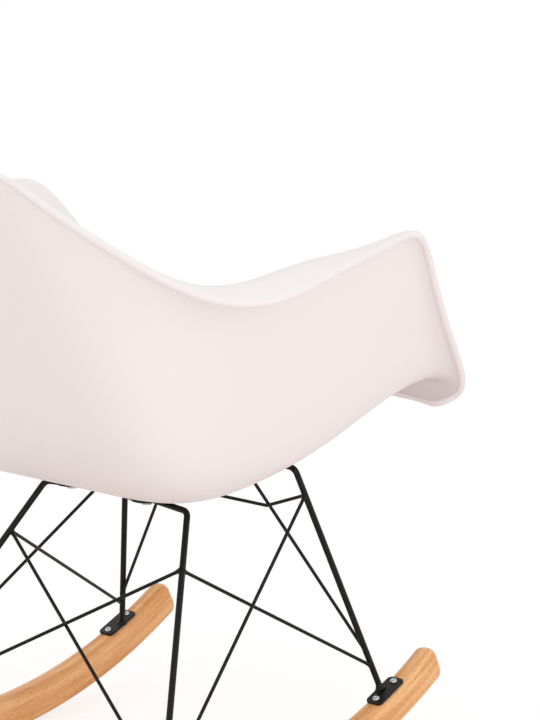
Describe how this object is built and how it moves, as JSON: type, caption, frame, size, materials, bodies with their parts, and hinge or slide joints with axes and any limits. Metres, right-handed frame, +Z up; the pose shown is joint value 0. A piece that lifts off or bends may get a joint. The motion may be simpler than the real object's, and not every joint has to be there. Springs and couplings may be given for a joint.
{
  "type": "rocking chair",
  "caption": "Moulded plastic armchair shell on a black bent-rod base with crossed wire braces and curved wooden rockers.",
  "frame": {"origin": "on the floor, under the middle of the chair's bounding box", "axes": "+X to the front of the chair, +Y to the sitter's left, +Z up"},
  "size_m": [0.6918, 0.62, 0.7555],
  "materials": {
    "shell": "satin white moulded plastic",
    "rod_coat": "satin black powder coat on steel rod",
    "rubber": "matt black rubber",
    "insert": "plain",
    "fastener": "zinc plated",
    "wood": "oiled beech"
  },
  "bodies": {
    "root": {"seat_shell": "shell", "front_left_shock_mount": "rubber", "front_right_shock_mount": "rubber", "rear_left_shock_mount": "rubber", "rear_right_shock_mount": "rubber", "mount_inserts": "insert", "mount_screws": "fastener", "mount_washers": "fastener", "front_left_mount_plate": "rod_coat", "front_right_mount_plate": "rod_coat", "rear_left_mount_plate": "rod_coat", "rear_right_mount_plate": "rod_coat", "front_leg_frame": "rod_coat", "rear_leg_frame": "rod_coat", "front_tie_wire": "rod_coat", "front_left_brace": "rod_coat", "front_right_brace": "rod_coat", "left_fore_brace": "rod_coat", "right_fore_brace": "rod_coat", "left_aft_brace": "rod_coat", "right_aft_brace": "rod_coat", "rear_cross_brace_a": "rod_coat", "rear_cross_brace_b": "rod_coat", "front_left_foot_plate": "rod_coat", "front_right_foot_plate": "rod_coat", "rear_left_foot_plate": "rod_coat", "rear_right_foot_plate": "rod_coat", "left_rocker": "wood", "right_rocker": "wood", "rocker_screws": "fastener"}
  },
  "joints": []
}
